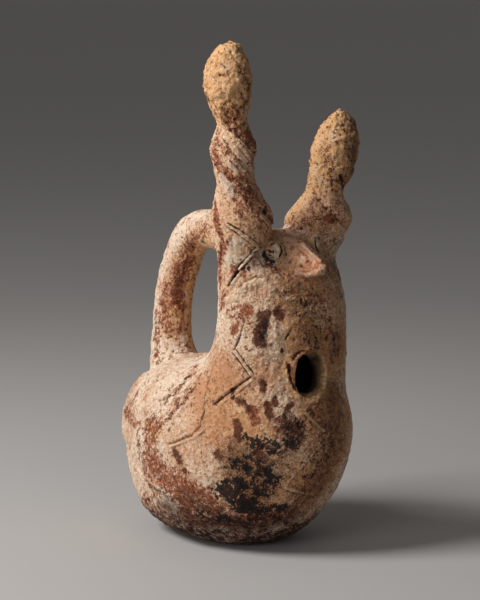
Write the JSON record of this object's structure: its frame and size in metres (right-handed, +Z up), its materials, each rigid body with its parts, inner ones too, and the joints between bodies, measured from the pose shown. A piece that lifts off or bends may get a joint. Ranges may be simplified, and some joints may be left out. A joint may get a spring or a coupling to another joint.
{
  "type": "zoomorphic askos",
  "caption": "Hand-built hollow clay pouring vessel shaped as a horned animal, with an upright neck, two twisted horns, a coil handle at the back and one hole in the chest.",
  "frame": {"origin": "centre of the small flat under the belly that the vessel stands on", "axes": "+Z up; the animal faces -Y, its tail points to +Y, and its left side is +X"},
  "size_m": [0.078, 0.1259, 0.2032],
  "materials": {
    "cream_crust": "matt, lime-crusted, pitted",
    "sandy_core": "matt, sandy, worn through to the clay",
    "worn_slip": "matt, red slip worn in streaks",
    "pink_slip": "matt, pinkish red slip"
  },
  "bodies": {
    "root": {"belly_bowl": "cream_crust", "back_shell": "cream_crust", "neck": "cream_crust", "head_cap": "cream_crust", "spout_root": "sandy_core", "right_horn": "sandy_core", "left_horn": "sandy_core", "handle": "worn_slip", "tail": "cream_crust", "muzzle": "pink_slip", "right_eye": "cream_crust", "left_eye": "cream_crust"}
  },
  "joints": []
}
